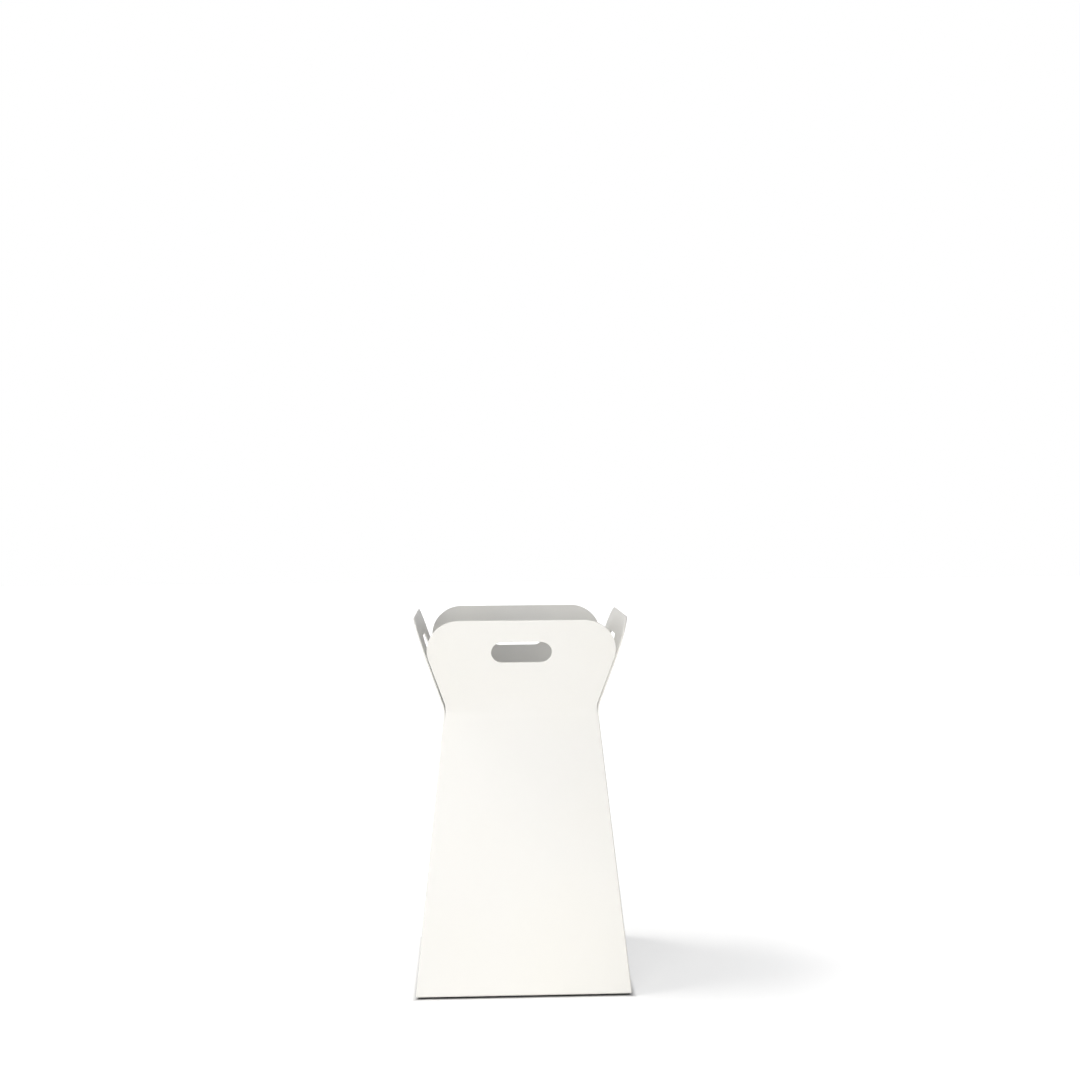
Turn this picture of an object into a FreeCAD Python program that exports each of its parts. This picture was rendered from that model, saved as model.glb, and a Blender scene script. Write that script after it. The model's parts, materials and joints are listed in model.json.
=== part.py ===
import FreeCAD, Part
import math
import os
import Sketcher

# Tapered planter of folded sheet metal, in millimetres.
# Origin: centre of the base on the floor. +Z up, the front faces -Y.

Vector = FreeCAD.Vector
doc = FreeCAD.newDocument("planter")

sizes = {
    # panels
    "base_width": 400,
    "waist_width": 289,
    "fold_height": 524,
    "floor_gap": 3,
    "sheet_gauge": 3,
    "bottom_bend": 1.5,
    "bottom_return": 42,
    "fold_bend": 55,
    "flap_length": 182,
    "flap_lean": 18.3,
    "flap_neck": 276,
    "flap_slope": 18,
    "flap_corner": 60,
    "neck_bend": 50,
    "neck_reach": 24,
    "hand_hole_length": 112,
    "hand_hole_height": 41,
    "hand_hole_drop": 43,
    "corner_round": 2.5,
    "mitre_gap": 0.4,
    "overrun": 30,
    # corner angles
    "angle_leg": 26,
    "angle_gauge": 2,
    "angle_bend": 3,
    "angle_foot_gap": 2,
    "angle_top_gap": 6,
    # base plate
    "plate_gauge": 2,
    "plate_edge_gap": 1.2,
    "plate_corner": 12,
    "dish_width": 250,
    "dish_rise": 5,
    "dish_draft": 5,
    "dish_corner": 20,
    "drain_radius": 9,
    "drain_spacing": 80,
    # feet and their fasteners
    "foot_inset": 50,
    "foot_radius": 15,
    "foot_chamfer": 0.5,
    "foot_web": 1,
    "foot_recess_gap": 1,
    "screw_radius": 3,
    "screw_clearance": 0.3,
    "screw_head_radius": 6,
    "screw_head_height": 1.4,
    "screw_socket": 2.3,
    "screw_tail": 3,
    "washer_radius": 8,
    "washer_gauge": 1.6,
    "nut_radius": 5.77,
    "nut_height": 5,
    "thread_clearance": 0.05,
    # ledges and their fasteners
    "ledge_drop": 22,
    "ledge_length": 200,
    "ledge_depth": 20,
    "ledge_leg": 38,
    "ledge_gauge": 2,
    "ledge_bend": 2,
    "ledge_round": 6,
    "stud_spacing": 120,
    "stud_drop": 22,
    "stud_radius": 2.5,
    "stud_length": 12,
    "stud_clearance": 0.3,
    "stud_nut_radius": 4.62,
    "stud_nut_height": 5,
    # liner
    "liner_gauge": 1.2,
    "liner_gap": 2,
    "liner_depth": 300,
    "liner_taper": 3.5,
    "liner_corner": 24,
    "liner_mouth_gap": 5,
    "liner_hem": 7,
    "liner_drain_radius": 5,
    "liner_drain_spacing": 100,
    # liner handles
    "handle_drop": 66,
    "handle_wire": 2.5,
    "handle_bend": 12,
    "handle_stub": 13,
    "handle_clearance": 0.08,
    "pivot_drop": 22,
    "pivot_stand_off": 4.2,
    "lug_end_gap": 20,
    "lug_gap": 3,
    "lug_width": 17,
    "lug_height": 16,
    "lug_gauge": 1.5,
    "lug_bend": 1,
    "lug_ear_margin": 2.5,
    "lug_corner": 3,
    "rivet_edge": 5,
    "rivet_radius": 1.6,
    "rivet_clearance": 0.1,
    "rivet_head_radius": 3,
    "rivet_head_height": 1,
}

places = {
    # run of the wall per unit of height, and the angle and the level thickness that follow from it
    "wall_slope": "=(Sizes.base_width - Sizes.waist_width) / 2 / (Sizes.fold_height - Sizes.floor_gap)",
    "wall_lean": "=atan(wall_slope) / 1 deg",
    "wall_stretch": "=sqrt(1 + wall_slope * wall_slope)",
    "wall_run": "=Sizes.sheet_gauge * wall_stretch",
    "fold_turn": "=wall_lean + Sizes.flap_lean",
    "fold_tangent": "=Sizes.fold_bend * tan(fold_turn / 2)",
    # stack of layers at the foot screws, from the floor up
    "web_foot": "=Sizes.floor_gap - Sizes.foot_web",
    "return_top": "=Sizes.floor_gap + Sizes.sheet_gauge",
    "plate_top": "=return_top + Sizes.plate_gauge",
    "washer_top": "=plate_top + Sizes.washer_gauge",
    "nut_top": "=washer_top + Sizes.nut_height",
    "foot_line": "=Sizes.base_width / 2 - (Sizes.bottom_return + Sizes.sheet_gauge) / 2",
    "foot_reach": "=Sizes.base_width / 2 - Sizes.foot_inset",
    # ledges and liner
    "ledge_top": "=Sizes.fold_height - Sizes.ledge_drop",
    "liner_foot": "=ledge_top - Sizes.liner_depth",
    "rim_top": "=ledge_top + Sizes.liner_gauge",
    "pivot_level": "=ledge_top - Sizes.pivot_drop",
}


def fill_sheet(name, cells):
    sheet = doc.addObject("Spreadsheet::Sheet", name)
    for row, (alias, content) in enumerate(cells.items(), start=1):
        sheet.set(f"A{row}", alias)
        sheet.set(f"B{row}", str(content))
        sheet.setAlias(f"B{row}", alias)
    doc.recompute()
    return sheet


size_sheet = fill_sheet("Sizes", sizes)
fill_sheet("Places", places)


def number(expression):
    return float(size_sheet.evalExpression(str(expression)))


# Half the width of the planter at a height: outer faces, then inner faces of the walls.
def outer_half(height):
    return f"(Sizes.base_width / 2 - ({height} - Sizes.floor_gap) * Places.wall_slope)"


def inner_half(height):
    return f"({outer_half(height)} - Places.wall_run)"


def minus(expression):
    return f"-({expression})"


def new_body(label, turn=0):
    body = doc.addObject("PartDesign::Body", label)
    body.Label = label
    body.Placement = FreeCAD.Placement(Vector(), FreeCAD.Rotation(Vector(0, 0, 1), turn))
    return body


def origin_plane(body, role):
    return next(item for item in body.Origin.OriginFeatures if item.Role == role)


# A sketch on an origin plane of its body, shifted and then tilted about its own X axis.
def new_sketch(body, name, role, shift=(0, 0, 0), tilt=None):
    sketch = body.newObject("Sketcher::SketchObject", name)
    sketch.AttachmentSupport = [(origin_plane(body, role), "")]
    sketch.MapMode = "FlatFace"
    angle = 0 if tilt is None else number(tilt)
    spot = Vector(*[number(item) for item in shift])
    sketch.AttachmentOffset = FreeCAD.Placement(spot, FreeCAD.Rotation(Vector(1, 0, 0), angle))
    for axis, item in zip("xyz", shift):
        if item != 0:
            sketch.setExpression(f"AttachmentOffset.Base.{axis}", str(item))
    if tilt is not None:
        sketch.setExpression("AttachmentOffset.Rotation.Angle", str(tilt))
    return sketch


def bind(sketch, constraint, expression=None):
    index = sketch.addConstraint(constraint)
    if expression is not None:
        sketch.setExpression(f"Constraints[{index}]", str(expression))
    return index


def fixed_point(sketch, across, along):
    point = Vector(number(across), number(along), 0)
    index = sketch.addGeometry(Part.Point(point), True)
    for kind, value, expression in (("DistanceX", point.x, across), ("DistanceY", point.y, along)):
        if expression == 0:
            other = -2 if kind == "DistanceX" else -1
            bind(sketch, Sketcher.Constraint("PointOnObject", index, 1, other))
        else:
            bind(sketch, Sketcher.Constraint(kind, -1, 1, index, 1, value), expression)
    return index


# An outline through virtual corners (across, along, radius); a corner with radius 0 is sharp.
def draw_outline(sketch, corners, closed=True):
    spots = [Vector(number(across), number(along), 0) for across, along, _ in corners]
    radii = [number(radius) for _, _, radius in corners]
    anchors = [fixed_point(sketch, across, along) for across, along, _ in corners]
    count = len(corners)
    leave = []
    enter = []
    for here in range(count):
        before = (spots[here - 1] - spots[here]).normalize()
        after = (spots[(here + 1) % count] - spots[here]).normalize()
        reach = radii[here] / math.tan(before.getAngle(after) / 2) if radii[here] else 0
        enter.append(spots[here] + before * reach)
        leave.append(spots[here] + after * reach)
    lines = []
    for here in range(count if closed else count - 1):
        following = (here + 1) % count
        line = sketch.addGeometry(Part.LineSegment(leave[here], enter[following]), False)
        lines.append(line)
        for end, corner in ((1, here), (2, following)):
            if radii[corner]:
                bind(sketch, Sketcher.Constraint("PointOnObject", anchors[corner], 1, line))
            else:
                bind(sketch, Sketcher.Constraint("Coincident", line, end, anchors[corner], 1))
    for here in range(count):
        if not radii[here]:
            continue
        before = (spots[here] - enter[here]).normalize()
        after = (leave[here] - spots[here]).normalize()
        leftward = before.x * after.y - before.y * after.x > 0
        inward = Vector(-before.y, before.x, 0) if leftward else Vector(before.y, -before.x, 0)
        centre = enter[here] + inward * radii[here]
        first, last = (enter[here], leave[here]) if leftward else (leave[here], enter[here])
        start = math.atan2(first.y - centre.y, first.x - centre.x)
        end = math.atan2(last.y - centre.y, last.x - centre.x)
        circle = Part.Circle(centre, Vector(0, 0, 1), radii[here])
        arc = sketch.addGeometry(Part.ArcOfCircle(circle, start, end), False)
        arrive, depart = (1, 2) if leftward else (2, 1)
        bind(sketch, Sketcher.Constraint("Tangent", lines[here - 1], 2, arc, arrive))
        bind(sketch, Sketcher.Constraint("Tangent", arc, depart, lines[here], 1))
        bind(sketch, Sketcher.Constraint("Radius", arc, radii[here]), corners[here][2])
    return anchors


def draw_circle(sketch, across, along, radius):
    centre = fixed_point(sketch, across, along)
    spot = Vector(number(across), number(along), 0)
    circle = sketch.addGeometry(Part.Circle(spot, Vector(0, 0, 1), number(radius)), False)
    bind(sketch, Sketcher.Constraint("Coincident", circle, 3, centre, 1))
    bind(sketch, Sketcher.Constraint("Radius", circle, number(radius)), radius)


def draw_rectangle(sketch, half_width, half_height, radius=0):
    corners = [
        (minus(half_width), minus(half_height), radius),
        (half_width, minus(half_height), radius),
        (half_width, half_height, radius),
        (minus(half_width), half_height, radius),
    ]
    draw_outline(sketch, corners)


def draw_hexagon(sketch, across, along, radius):
    corners = []
    for corner in range(6):
        turn = f"{corner * 60} deg"
        corners.append((f"{across} + {radius} * cos({turn})", f"{along} + {radius} * sin({turn})", 0))
    draw_outline(sketch, corners)


# A stadium lying across the sketch, centred on its vertical axis.
def draw_slot(sketch, along, length, height):
    radius = number(height) / 2
    reach = number(length) / 2 - radius
    level = number(along)
    centres = []
    for side, start, end in ((-1, math.pi / 2, 3 * math.pi / 2), (1, -math.pi / 2, math.pi / 2)):
        spot = Vector(side * reach, level, 0)
        arc = Part.ArcOfCircle(Part.Circle(spot, Vector(0, 0, 1), radius), start, end)
        centres.append(sketch.addGeometry(arc, False))
        sign = "-" if side < 0 else ""
        bind(sketch, Sketcher.Constraint("DistanceX", -1, 1, centres[-1], 3, spot.x),
             f"{sign}({length} - {height}) / 2")
        bind(sketch, Sketcher.Constraint("DistanceY", -1, 1, centres[-1], 3, level), along)
    left, right = centres
    bottom = sketch.addGeometry(Part.LineSegment(
        Vector(-reach, level - radius, 0), Vector(reach, level - radius, 0)), False)
    top = sketch.addGeometry(Part.LineSegment(
        Vector(reach, level + radius, 0), Vector(-reach, level + radius, 0)), False)
    bind(sketch, Sketcher.Constraint("Tangent", left, 2, bottom, 1))
    bind(sketch, Sketcher.Constraint("Tangent", bottom, 2, right, 1))
    bind(sketch, Sketcher.Constraint("Tangent", right, 2, top, 1))
    bind(sketch, Sketcher.Constraint("Tangent", top, 2, left, 1))
    bind(sketch, Sketcher.Constraint("Radius", left, radius), f"{height} / 2")


def pad(body, name, sketch, length, reverse=False, both_ways=False):
    feature = body.newObject("PartDesign::Pad", name)
    feature.Profile = sketch
    feature.Length = number(length)
    feature.setExpression("Length", str(length))
    feature.Reversed = reverse
    feature.Midplane = both_ways
    doc.recompute()
    return feature


# A cut that has to take material away: one that misses the solid is an error.
def pocket(body, name, sketch, length, reverse=False, both_ways=False):
    before = body.Shape.Volume
    feature = body.newObject("PartDesign::Pocket", name)
    feature.Profile = sketch
    feature.Length = number(length)
    feature.setExpression("Length", str(length))
    feature.Reversed = reverse
    feature.Midplane = both_ways
    doc.recompute()
    if body.Shape.Volume >= before:
        raise RuntimeError(f"{body.Label}: {name} cuts nothing")
    return feature


def revolve(body, name, sketch):
    feature = body.newObject("PartDesign::Revolution", name)
    feature.Profile = sketch
    feature.ReferenceAxis = (sketch, ["V_Axis"])
    feature.Angle = 360
    doc.recompute()
    return feature


def loft(body, name, kind, first, last):
    feature = body.newObject(f"PartDesign::{kind}Loft", name)
    feature.Profile = first
    feature.Sections = [last]
    feature.Ruled = True
    doc.recompute()
    return feature


def mirror(body, name, features, role):
    feature = body.newObject("PartDesign::Mirrored", name)
    feature.Originals = features
    feature.MirrorPlane = (origin_plane(body, role), [""])
    body.Tip = feature
    doc.recompute()
    return feature


def quarter_turns(body, name, features):
    feature = body.newObject("PartDesign::PolarPattern", name)
    feature.Originals = features
    axis = next(item for item in body.Origin.OriginFeatures if item.Role == "Z_Axis")
    feature.Axis = (axis, [""])
    feature.Angle = 360
    feature.Occurrences = 4
    body.Tip = feature
    doc.recompute()
    return feature


# Section of a panel: bottom return, leaning wall, soft fold, flap. It is drawn looking along X.
def panel_section(body):
    middle = "((Sizes.flap_lean - Places.wall_lean) / 2)"
    corner = "(Sizes.sheet_gauge / cos(Places.fold_turn / 2))"
    flap_top_across = "(Sizes.waist_width / 2 + Sizes.flap_length * sin(Sizes.flap_lean))"
    flap_top = "(Sizes.fold_height + Sizes.flap_length * cos(Sizes.flap_lean))"
    return_end = "(Sizes.base_width / 2 - Sizes.bottom_return)"
    corners = [
        (minus(return_end), "Sizes.floor_gap", 0),
        ("-Sizes.base_width / 2", "Sizes.floor_gap", "Sizes.bottom_bend + Sizes.sheet_gauge"),
        ("-Sizes.waist_width / 2", "Sizes.fold_height", "Sizes.fold_bend"),
        (minus(flap_top_across), flap_top, 0),
        (f"-{flap_top_across} + Sizes.sheet_gauge * cos(Sizes.flap_lean)",
         f"{flap_top} + Sizes.sheet_gauge * sin(Sizes.flap_lean)", 0),
        (f"-Sizes.waist_width / 2 + {corner} * cos({middle})",
         f"Sizes.fold_height + {corner} * sin({middle})", "Sizes.fold_bend + Sizes.sheet_gauge"),
        (minus(inner_half("Places.return_top")), "Places.return_top", "Sizes.bottom_bend"),
        (minus(return_end), "Places.return_top", 0),
    ]
    sketch = new_sketch(body, f"{body.Label}_section", "YZ_Plane")
    draw_outline(sketch, corners)
    return sketch


# Side edge of a wall and the neck above it, seen from the front; the cut lies outside of it.
# An inset panel stands between its neighbours, a full one reaches the corners.
def cut_wall_edge(body, inset):
    shift = "Places.wall_run" if inset else "0"
    top = "(Sizes.fold_height + Sizes.neck_reach)"
    flare = "(tan(Sizes.flap_slope) / cos(Sizes.flap_lean))"
    meet = f"((Sizes.waist_width / 2 - {shift} - Sizes.flap_neck / 2) / ({flare} + Places.wall_slope))"
    outside = "(Sizes.base_width / 2 + Sizes.overrun)"
    wall_foot = "(Places.return_top + Sizes.bottom_bend)"
    notch = "(Sizes.base_width / 2 - Sizes.sheet_gauge - Sizes.bottom_bend - Sizes.mitre_gap)"
    foot = "(Sizes.floor_gap - Sizes.overrun)"
    edge = [
        (f"{outer_half(foot)} - {shift}", foot, 0),
    ]
    if inset:
        edge = [
            (notch, foot, 0),
            (notch, wall_foot, 0),
            (f"{outer_half(wall_foot)} - {shift}", wall_foot, 0),
        ]
    corners = edge + [
        (f"Sizes.flap_neck / 2 + {meet} * {flare}", f"Sizes.fold_height + {meet}", "Sizes.neck_bend"),
        (f"Sizes.flap_neck / 2 + Sizes.neck_reach * {flare}", top, 0),
        (outside, top, 0),
        (outside, foot, 0),
    ]
    sketch = new_sketch(body, f"{body.Label}_wall_edge", "XZ_Plane")
    draw_outline(sketch, corners)
    return pocket(body, f"{body.Label}_wall_cut", sketch, "2 * Sizes.base_width", both_ways=True)


# Outline of the flap above its neck, in the plane of the flap.
def cut_flap_edge(body):
    start = "((Sizes.neck_reach - Sizes.sheet_gauge) / cos(Sizes.flap_lean))"
    outside = "(Sizes.base_width / 2 + Sizes.overrun)"
    above = "(Sizes.flap_length + Sizes.overrun)"
    corners = [
        (f"Sizes.flap_neck / 2 + {start} * tan(Sizes.flap_slope)", start, 0),
        ("Sizes.flap_neck / 2 + Sizes.flap_length * tan(Sizes.flap_slope)", "Sizes.flap_length",
         "Sizes.flap_corner"),
        (0, "Sizes.flap_length", 0),
        (0, above, 0),
        (outside, above, 0),
        (outside, start, 0),
    ]
    sketch = flap_sketch(body, f"{body.Label}_flap_edge")
    draw_outline(sketch, corners)
    return pocket(body, f"{body.Label}_flap_cut", sketch, "2 * Sizes.overrun", both_ways=True)


def flap_sketch(body, name):
    shift = (0, "Sizes.fold_height", "Sizes.waist_width / 2")
    return new_sketch(body, name, "XZ_Plane", shift, "Sizes.flap_lean")


# The bottom returns of two neighbours meet along a diagonal with a small gap.
def cut_mitre(body):
    bend_line = "(Sizes.base_width / 2 - Sizes.sheet_gauge - Sizes.bottom_bend)"
    inner = "(Sizes.base_width / 2 - Sizes.bottom_return - Sizes.overrun)"
    outside = "(Sizes.base_width / 2 + Sizes.overrun)"
    corners = [
        (f"{bend_line} - Sizes.mitre_gap", minus(bend_line), 0),
        (f"{inner} - Sizes.mitre_gap", minus(inner), 0),
        (outside, minus(inner), 0),
        (outside, minus(bend_line), 0),
    ]
    sketch = new_sketch(body, f"{body.Label}_mitre", "XY_Plane")
    draw_outline(sketch, corners)
    return pocket(body, f"{body.Label}_mitre_cut", sketch, "Places.return_top + Sizes.bottom_bend", reverse=True)


# The outer corner of the planter is ground round along the edge of the full-width panel.
def round_corner(body):
    ends = []
    for name, level in (("foot", "Sizes.floor_gap - Sizes.overrun"),
                        ("head", "Sizes.fold_height - Places.fold_tangent")):
        sketch = new_sketch(body, f"{body.Label}_round_{name}", "XY_Plane", (0, 0, level))
        corner = outer_half(f"({level})")
        centre = f"({corner} - Sizes.corner_round)"
        beyond = f"({corner} + Sizes.corner_round)"
        draw_corner_cutter(sketch, corner, centre, beyond)
        ends.append(sketch)
    before = body.Shape.Volume
    feature = loft(body, f"{body.Label}_corner_cut", "Subtractive", *ends)
    if body.Shape.Volume >= before:
        raise RuntimeError(f"{body.Label}: the corner round cuts nothing")
    return feature


# What lies outside of the quarter round, closed well off the corner.
def draw_corner_cutter(sketch, corner, centre, beyond):
    chain = [
        (corner, minus(centre), 0),
        (beyond, minus(centre), 0),
        (beyond, minus(beyond), 0),
        (centre, minus(beyond), 0),
        (centre, minus(corner), 0),
    ]
    anchors = draw_outline(sketch, chain, closed=False)
    radius = number("Sizes.corner_round")
    middle = Vector(number(centre), -number(centre), 0)
    circle = Part.Circle(middle, Vector(0, 0, 1), radius)
    arc = sketch.addGeometry(Part.ArcOfCircle(circle, -math.pi / 2, 0), False)
    bind(sketch, Sketcher.Constraint("Coincident", arc, 1, anchors[-1], 1))
    bind(sketch, Sketcher.Constraint("Coincident", arc, 2, anchors[0], 1))
    bind(sketch, Sketcher.Constraint("Radius", arc, radius), "Sizes.corner_round")


def cut_hand_hole(body):
    sketch = flap_sketch(body, f"{body.Label}_hand_hole")
    level = "Sizes.flap_length - Sizes.hand_hole_drop - Sizes.hand_hole_height / 2"
    draw_slot(sketch, level, "Sizes.hand_hole_length", "Sizes.hand_hole_height")
    return pocket(body, f"{body.Label}_hole_cut", sketch, "2 * Sizes.overrun", both_ways=True)


def cut_foot_holes(body):
    sketch = new_sketch(body, f"{body.Label}_foot_holes", "XY_Plane")
    for side in ("-", ""):
        draw_circle(sketch, f"{side}Places.foot_reach", "-Places.foot_line",
                    "Sizes.screw_radius + Sizes.screw_clearance")
    return pocket(body, f"{body.Label}_foot_hole_cut", sketch, "Places.return_top + Sizes.overrun",
                  reverse=True)


# One folded panel. Each is modelled as the front one and turned about Z to its side.
def panel(label, turn, inset):
    body = new_body(label, turn)
    section = panel_section(body)
    pad(body, f"{label}_sheet", section, "Sizes.base_width", both_ways=True)
    cuts = [cut_wall_edge(body, inset), cut_flap_edge(body), cut_mitre(body)]
    if not inset:
        cuts.append(round_corner(body))
    mirror(body, f"{label}_other_side", cuts, "YZ_Plane")
    cut_hand_hole(body)
    if inset:
        cut_foot_holes(body)
    return body


# Angle strip inside a corner. Its legs lie flat on the two leaning walls.
def corner_angle(label, turn):
    body = new_body(label, turn)
    ends = []
    levels = (
        ("foot", "(Places.plate_top + Sizes.angle_foot_gap)"),
        ("head", "(Sizes.fold_height - Places.fold_tangent - Sizes.angle_top_gap)"),
    )
    for name, level in levels:
        sketch = new_sketch(body, f"{label}_{name}", "XY_Plane", (0, 0, level))
        face = inner_half(level)
        back = f"({face} - Sizes.angle_gauge)"
        tip = f"({face} - Sizes.angle_leg)"
        corners = [
            (minus(face), minus(face), "Sizes.angle_bend"),
            (minus(tip), minus(face), 0),
            (minus(tip), minus(back), 0),
            (minus(back), minus(back), "Sizes.angle_bend - Sizes.angle_gauge"),
            (minus(back), minus(tip), 0),
            (minus(face), minus(tip), 0),
        ]
        draw_outline(sketch, corners)
        ends.append(sketch)
    loft(body, f"{label}_strip", "Additive", *ends)
    return body


# Base plate on the bottom returns, with a raised dish and drain holes.
def base_plate():
    body = new_body("base_plate")
    edge = f"({inner_half('Places.plate_top')} - Sizes.bottom_bend - Sizes.plate_edge_gap)"
    outline = new_sketch(body, "plate_outline", "XY_Plane", (0, 0, "Places.return_top"))
    draw_rectangle(outline, edge, edge, "Sizes.plate_corner")
    pad(body, "plate_sheet", outline, "Sizes.plate_gauge")
    for kind, foot, shrink in (("Additive", "Places.plate_top", "0"),
                               ("Subtractive", "Places.return_top", "Sizes.plate_gauge")):
        ends = []
        for name, rise, draft in (("foot", "0", "0"), ("head", "Sizes.dish_rise", "Sizes.dish_draft")):
            sketch = new_sketch(body, f"dish_{kind}_{name}", "XY_Plane", (0, 0, f"{foot} + {rise}"))
            half = f"(Sizes.dish_width / 2 - {shrink} - {draft})"
            draw_rectangle(sketch, half, half, f"Sizes.dish_corner - {shrink}")
            ends.append(sketch)
        loft(body, f"dish_{kind}", kind, *ends)
    holes = new_sketch(body, "drain_holes", "XY_Plane", (0, 0, "Places.return_top"))
    draw_circle(holes, 0, 0, "Sizes.drain_radius")
    for across in ("-", ""):
        for along in ("-", ""):
            draw_circle(holes, f"{across}Sizes.drain_spacing", f"{along}Sizes.drain_spacing",
                        "Sizes.drain_radius")
    pocket(body, "drain_hole_cut", holes, "Sizes.dish_rise + Sizes.plate_gauge", reverse=True)
    holes = new_sketch(body, "plate_foot_holes", "XY_Plane", (0, 0, "Places.return_top"))
    for across, along in foot_places():
        draw_circle(holes, across, along, "Sizes.screw_radius + Sizes.screw_clearance")
    pocket(body, "plate_foot_hole_cut", holes, "Sizes.plate_gauge", reverse=True)
    return body


def foot_places():
    spots = []
    for across in ("-", ""):
        for along in ("-", ""):
            spots.append((f"{across}Places.foot_reach", f"{along}Places.foot_line"))
    return spots


# Low rubber feet: discs with a chamfered edge and a recess for the head of the screw.
def feet():
    body = new_body("feet")
    bore = "Sizes.screw_radius + Sizes.screw_clearance"
    recess = "Sizes.screw_head_radius + Sizes.foot_recess_gap"
    corners = [
        (bore, "Places.web_foot", 0),
        (recess, "Places.web_foot", 0),
        (recess, 0, 0),
        ("Sizes.foot_radius - Sizes.foot_chamfer", 0, 0),
        ("Sizes.foot_radius", "Sizes.foot_chamfer", 0),
        ("Sizes.foot_radius", "Sizes.floor_gap", 0),
        (bore, "Sizes.floor_gap", 0),
    ]
    for count, (across, along) in enumerate(foot_places(), start=1):
        sketch = new_sketch(body, f"foot_{count}_section", "XZ_Plane", (across, 0, minus(along)))
        draw_outline(sketch, corners)
        revolve(body, f"foot_{count}_disc", sketch)
    return body


# Rings or discs around the four foot screws, as one group of separate solids.
def foot_group(label, layers):
    body = new_body(label)
    for name, level, height, draw in layers:
        sketch = new_sketch(body, f"{label}_{name}", "XY_Plane", (0, 0, level))
        for across, along in foot_places():
            draw(sketch, across, along)
        pad(body, f"{label}_{name}_pad", sketch, height)
    return body


def foot_screws():
    def head(sketch, across, along):
        draw_circle(sketch, across, along, "Sizes.screw_head_radius")

    def shank(sketch, across, along):
        draw_circle(sketch, across, along, "Sizes.screw_radius")

    layers = [
        ("heads", "Places.web_foot - Sizes.screw_head_height", "Sizes.screw_head_height", head),
        ("shanks", "Places.web_foot", "Places.nut_top - Places.web_foot + Sizes.screw_tail", shank),
    ]
    body = foot_group("foot_screws", layers)
    socket = new_sketch(body, "screw_sockets", "XY_Plane",
                        (0, 0, "Places.web_foot - Sizes.screw_head_height"))
    for across, along in foot_places():
        draw_hexagon(socket, across, along, "Sizes.screw_socket")
    pocket(body, "screw_socket_cut", socket, "Sizes.screw_head_height", reverse=True)
    return body


def foot_washers():
    def ring(sketch, across, along):
        draw_circle(sketch, across, along, "Sizes.washer_radius")
        draw_circle(sketch, across, along, "Sizes.screw_radius + Sizes.screw_clearance")

    return foot_group("foot_washers", [("rings", "Places.plate_top", "Sizes.washer_gauge", ring)])


def foot_nuts():
    def hexagon(sketch, across, along):
        draw_hexagon(sketch, across, along, "Sizes.nut_radius")
        draw_circle(sketch, across, along, "Sizes.screw_radius + Sizes.thread_clearance")

    return foot_group("foot_nuts", [("hexagons", "Places.washer_top", "Sizes.nut_height", hexagon)])


# Ledge bracket: one leg on the wall, one level leg that carries the rim of the liner.
def ledge(label, turn):
    body = new_body(label, turn)
    run = "(Sizes.ledge_gauge * Places.wall_stretch)"
    under = "(Places.ledge_top - Sizes.ledge_gauge)"
    leg_foot = "(Places.ledge_top - Sizes.ledge_leg)"
    tip = f"({inner_half('Places.ledge_top')} - Sizes.ledge_depth)"
    corners = [
        (minus(inner_half("Places.ledge_top")), "Places.ledge_top",
         "Sizes.ledge_bend + Sizes.ledge_gauge"),
        (minus(inner_half(leg_foot)), leg_foot, 0),
        (f"-{inner_half(leg_foot)} + {run}", leg_foot, 0),
        (f"-{inner_half(under)} + {run}", under, "Sizes.ledge_bend"),
        (minus(tip), under, 0),
        (minus(tip), "Places.ledge_top", 0),
    ]
    section = new_sketch(body, f"{label}_section", "YZ_Plane")
    draw_outline(section, corners)
    pad(body, f"{label}_sheet", section, "Sizes.ledge_length", both_ways=True)
    trim = new_sketch(body, f"{label}_corner_round", "XY_Plane", (0, 0, "Places.ledge_top"))
    side = "(Sizes.ledge_length / 2)"
    for sign in (1, -1):
        draw_ledge_corner(trim, sign, side, tip)
    pocket(body, f"{label}_corner_cut", trim, "Sizes.ledge_gauge")
    holes = stud_sketch(body, f"{label}_stud_holes", "0")
    for sign in ("-", ""):
        draw_circle(holes, f"{sign}Sizes.stud_spacing / 2", 0, "Sizes.stud_radius + Sizes.stud_clearance")
    pocket(body, f"{label}_stud_hole_cut", holes, "Sizes.overrun", both_ways=True)
    return body


# The free corners of the level leg are cut off at an angle.
def draw_ledge_corner(sketch, sign, side, tip):
    prefix = "" if sign > 0 else "-"
    corners = [
        (f"{prefix}({side} - Sizes.ledge_round)", minus(tip), 0),
        (f"{prefix}({side})", f"-({tip} + Sizes.ledge_round)", 0),
        (f"{prefix}({side} + Sizes.overrun)", f"-({tip} + Sizes.ledge_round)", 0),
        (f"{prefix}({side} + Sizes.overrun)", f"-({tip} - Sizes.overrun)", 0),
        (f"{prefix}({side} - Sizes.ledge_round)", f"-({tip} - Sizes.overrun)", 0),
    ]
    draw_outline(sketch, corners)


# A sketch on the inner face of the front wall at the studs, lifted off it by the given distance.
def stud_sketch(body, name, lift):
    level = "(Places.ledge_top - Sizes.stud_drop)"
    shift = (
        0,
        f"{level} - {lift} * sin(Places.wall_lean)",
        f"{inner_half(level)} - {lift} * cos(Places.wall_lean)",
    )
    return new_sketch(body, name, "XZ_Plane", shift, "-Places.wall_lean")


def ledge_studs():
    body = new_body("ledge_studs")
    sketch = stud_sketch(body, "stud_circles", "0")
    for sign in ("-", ""):
        draw_circle(sketch, f"{sign}Sizes.stud_spacing / 2", 0, "Sizes.stud_radius")
    studs = pad(body, "stud_pads", sketch, "Sizes.stud_length", reverse=True)
    quarter_turns(body, "stud_turns", [studs])
    return body


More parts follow.
